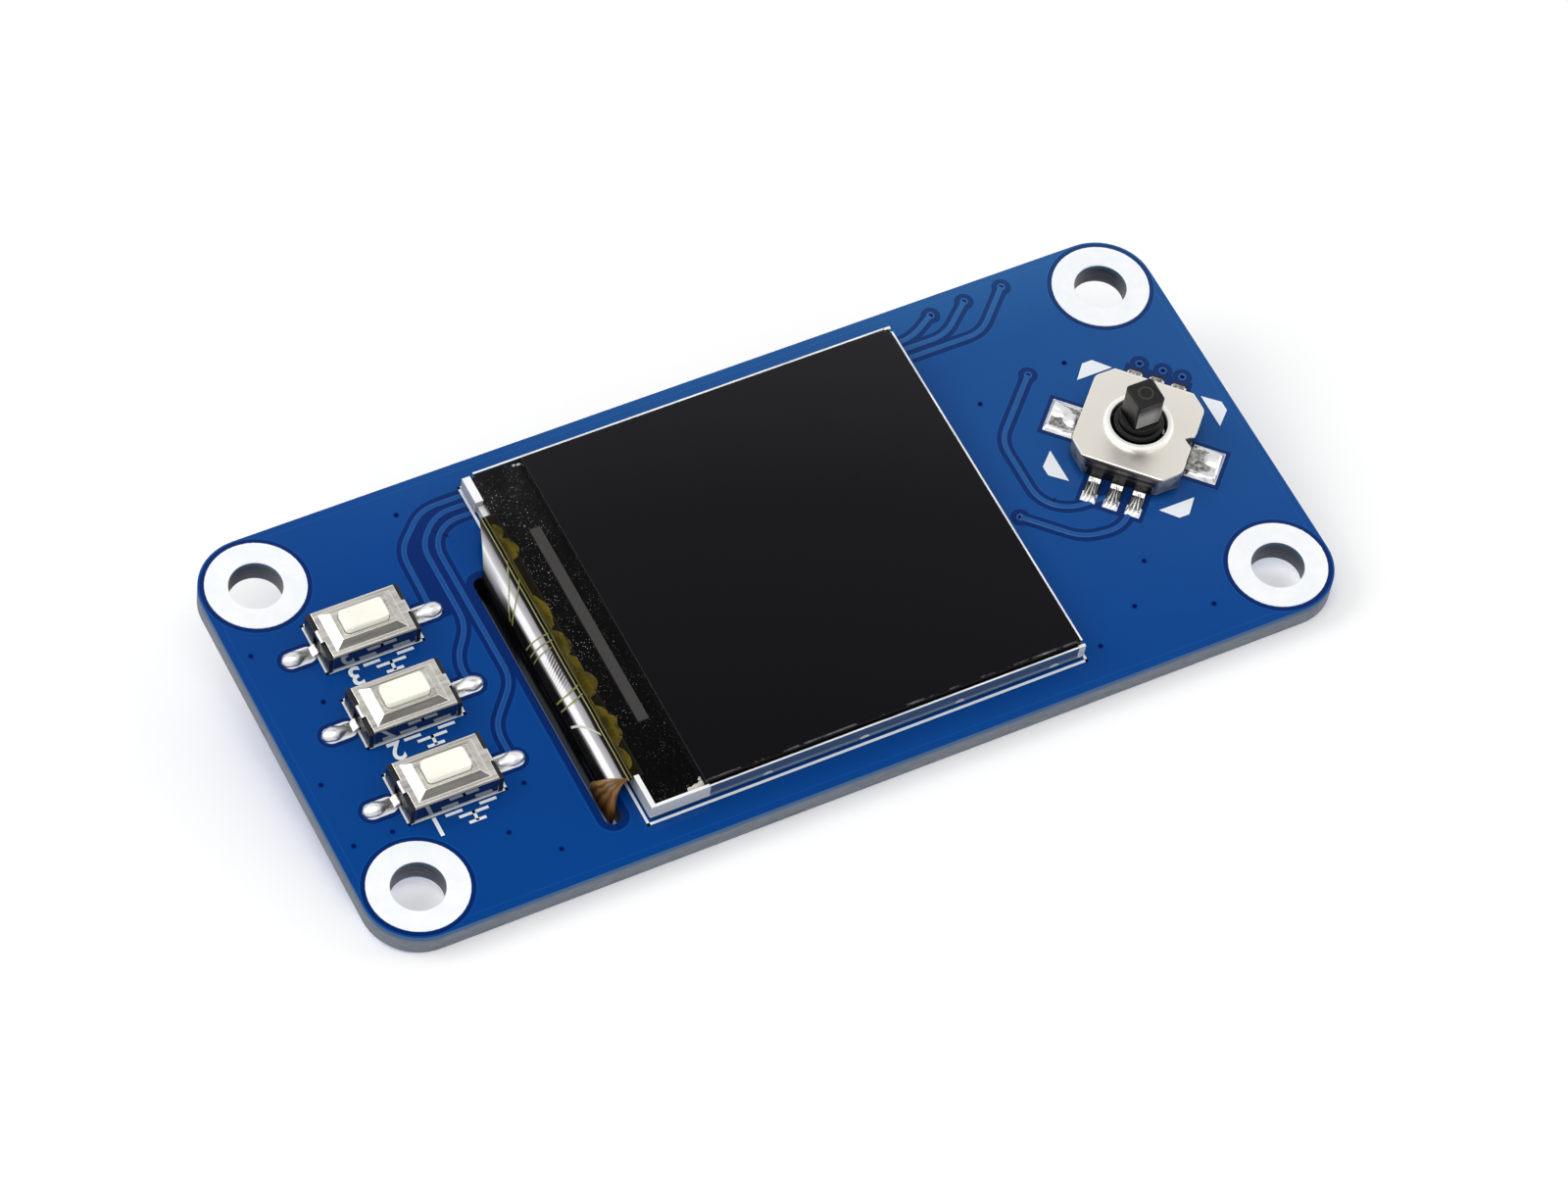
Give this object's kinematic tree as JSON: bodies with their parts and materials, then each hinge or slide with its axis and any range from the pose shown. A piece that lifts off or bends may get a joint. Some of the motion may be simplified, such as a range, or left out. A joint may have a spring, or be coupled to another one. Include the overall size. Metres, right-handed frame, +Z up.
{
  "type": "lcd display board",
  "caption": "Blue plug-on board with a square colour display, push switches, a joystick and a header socket underneath.",
  "frame": {"origin": "centre of the four mounting holes, on the board's underside", "axes": "+X along the board towards the joystick, +Y towards the header socket's long edge, +Z up out of the display"},
  "size_m": [0.065, 0.03, 0.0118],
  "materials": {
    "blue_solder_mask": "glossy blue solder mask over glass-fibre board",
    "tinned_copper": "tinned copper, satin",
    "solder": "bright uneven solder",
    "black_moulding": "black moulded nylon",
    "joystick_black": "black moulding, half gloss",
    "nickel_sheet": "satin nickel-plated sheet",
    "switch_steel": "brushed stainless sheet",
    "lead_metal": "tinned brass",
    "spring_steel": "stainless spring sheet",
    "ivory_plastic": "ivory moulding",
    "foam_tape": "double-sided tape",
    "tray_metal": "bright pressed sheet",
    "white_plastic": "white moulding",
    "reflector_film": "white reflector film",
    "clear_acrylic": "clear acrylic light guide",
    "diffuser_film": "milky film",
    "led_body": "pale yellow LED package",
    "polariser_film": "dark glossy film",
    "display_glass": "dark coated glass",
    "driver_silicon": "bare grey silicon",
    "flex_film": "amber polyimide with silvery upper side",
    "amber_glue": "amber sealing glue",
    "socket_plastic": "black glass-filled nylon",
    "contact_gold": "gold-plated spring brass",
    "resistor_body": "black overcoat on white ceramic",
    "capacitor_body": "tan ceramic",
    "transistor_body": "black epoxy"
  },
  "bodies": {
    "board": {"backlight_transistor": "transistor_body", "chip_capacitors": "capacitor_body", "chip_resistors": "resistor_body", "chip_solder_joints": "solder", "circuit_board": "blue_solder_mask", "flex_solder_joints": "solder", "joystick_anchor_tabs": "lead_metal", "joystick_cover": "nickel_sheet", "joystick_domes": "spring_steel", "joystick_housing": "black_moulding", "joystick_leads": "lead_metal", "joystick_solder_joints": "solder", "key_1_base": "black_moulding", "key_1_cover": "switch_steel", "key_1_dome": "spring_steel", "key_1_terminals": "lead_metal", "key_2_base": "black_moulding", "key_2_cover": "switch_steel", "key_2_dome": "spring_steel", "key_2_terminals": "lead_metal", "key_3_base": "black_moulding", "key_3_cover": "switch_steel", "key_3_dome": "spring_steel", "key_3_terminals": "lead_metal", "key_solder_joints": "solder", "lcd_array_glass": "display_glass", "lcd_diffuser": "diffuser_film", "lcd_driver_chip": "driver_silicon", "lcd_filter_glass": "display_glass", "lcd_flex": "flex_film", "lcd_frame": "white_plastic", "lcd_front_polariser": "polariser_film", "lcd_glue": "amber_glue", "lcd_leds": "led_body", "lcd_light_guide": "clear_acrylic", "lcd_rear_polariser": "polariser_film", "lcd_reflector": "reflector_film", "lcd_tape": "foam_tape", "lcd_tray": "tray_metal", "mounting_rings": "tinned_copper", "socket_contacts": "contact_gold", "socket_housing": "socket_plastic", "socket_solder_joints": "solder", "top_pads": "tinned_copper", "underside_pads": "tinned_copper"},
    "key_1_button": {"key_1_plunger": "ivory_plastic"},
    "key_2_button": {"key_2_plunger": "ivory_plastic"},
    "key_3_button": {"key_3_plunger": "ivory_plastic"},
    "joystick_rocker_body": {"joystick_rocker": "black_moulding"},
    "joystick_collar_body": {"joystick_collar": "joystick_black"},
    "joystick_stick_body": {"joystick_stick": "joystick_black"}
  },
  "joints": [
    {"name": "key_1_press", "type": "slide", "parent": "board", "child": "key_1_button", "axis": [0, 0, -1], "range_m": [0, 0.00025], "stiffness_N_per_m": 6400},
    {"name": "key_2_press", "type": "slide", "parent": "board", "child": "key_2_button", "axis": [0, 0, -1], "range_m": [0, 0.00025], "stiffness_N_per_m": 6400},
    {"name": "key_3_press", "type": "slide", "parent": "board", "child": "key_3_button", "axis": [0, 0, -1], "range_m": [0, 0.00025], "stiffness_N_per_m": 6400},
    {"name": "joystick_tilt_far_near", "type": "hinge", "parent": "board", "child": "joystick_rocker_body", "pos_m": [0.0252, 0.0001, 0.00265], "axis": [1, 0, 0], "range_deg": [-7, 7], "stiffness_Nm_per_rad": 0.04},
    {"name": "joystick_tilt_left_right", "type": "hinge", "parent": "joystick_rocker_body", "child": "joystick_collar_body", "pos_m": [0.0252, 0.0001, 0.00265], "axis": [0, 1, 0], "range_deg": [-7, 7], "stiffness_Nm_per_rad": 0.04},
    {"name": "joystick_press", "type": "slide", "parent": "joystick_collar_body", "child": "joystick_stick_body", "axis": [0, 0, -1], "range_m": [0, 0.00025], "stiffness_N_per_m": 6400}
  ]
}
